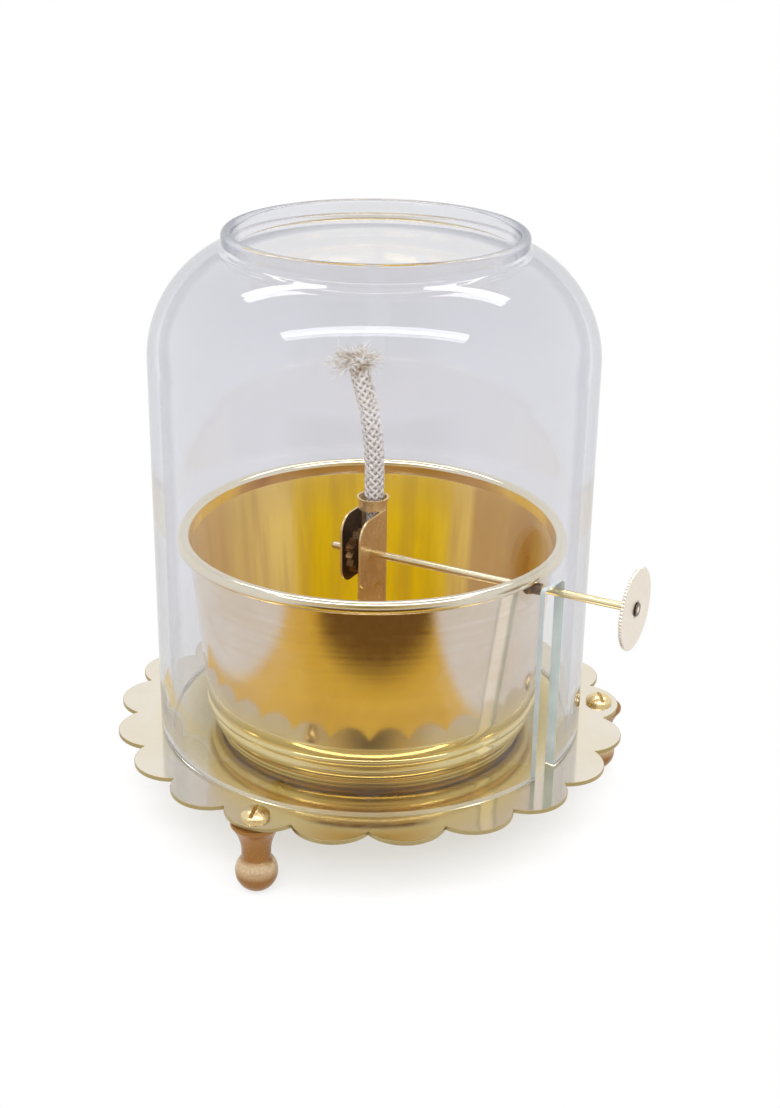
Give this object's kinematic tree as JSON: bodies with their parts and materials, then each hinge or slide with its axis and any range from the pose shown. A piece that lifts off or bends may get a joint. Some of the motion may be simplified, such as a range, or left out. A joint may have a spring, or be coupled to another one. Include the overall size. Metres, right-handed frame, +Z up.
{
  "type": "akhand diya oil lamp",
  "caption": "Brass akhand diya: spun oil bowl on a scalloped plate with turned legs, glass chimney with a side slot, and a wick tube whose toothed wheel is turned by a knob on a long spindle.",
  "frame": {"origin": "on the lamp's axis, at the level of the three soles", "axes": "+Z up, +X along the spindle towards the knob, +Y away from the feed wheel's side"},
  "size_m": [0.1541, 0.1468, 0.1619],
  "materials": {
    "plate_brass": "polished sheet, nearly a mirror",
    "bowl_brass": "spun and polished, fine rings from the lathe",
    "leg_brass": "cast and turned, dulled to a warm brown",
    "screw_brass": "turned, lightly scratched",
    "tube_brass": "folded sheet, stained by heat",
    "dark_brass": "cut and soldered, left dark",
    "spindle_brass": "drawn rod, bright",
    "knob_brass": "stamped sheet, satin",
    "clear_glass": "clear blown glass, ground lower edge",
    "cotton": "plaited cotton"
  },
  "bodies": {
    "lamp": {"base_plate": "plate_brass", "leg_1": "leg_brass", "leg_2": "leg_brass", "leg_3": "leg_brass", "leg_screws": "screw_brass", "bowl": "bowl_brass", "bowl_foot": "bowl_brass", "bowl_stud": "screw_brass", "stud_washer": "screw_brass", "stud_nut": "screw_brass", "tube_base": "tube_brass", "wick_tube": "tube_brass", "spindle_bush": "dark_brass", "wick_tail": "cotton"},
    "feed": {"spindle": "spindle_brass", "feed_wheel": "dark_brass", "knob": "knob_brass", "knob_collar": "spindle_brass"},
    "wick_body": {"wick": "cotton"},
    "glass": {"chimney": "clear_glass"}
  },
  "joints": [
    {"name": "knob_turn", "type": "hinge", "parent": "lamp", "child": "feed", "pos_m": [0, -0.008, 0.0744], "axis": [1, 0, 0], "range_deg": [-73, 145]},
    {"name": "wick_feed", "type": "slide", "parent": "lamp", "child": "wick_body", "axis": [0, 0, 1], "range_m": [-0.0085, 0.0165]},
    {"name": "chimney_lift", "type": "slide", "parent": "lamp", "child": "glass", "axis": [0, 0, 1], "range_m": [0, 0.13]}
  ],
  "couplings": [
    {"joint": "wick_feed", "follows": "knob_turn", "m_per_rad": 0.0064}
  ]
}
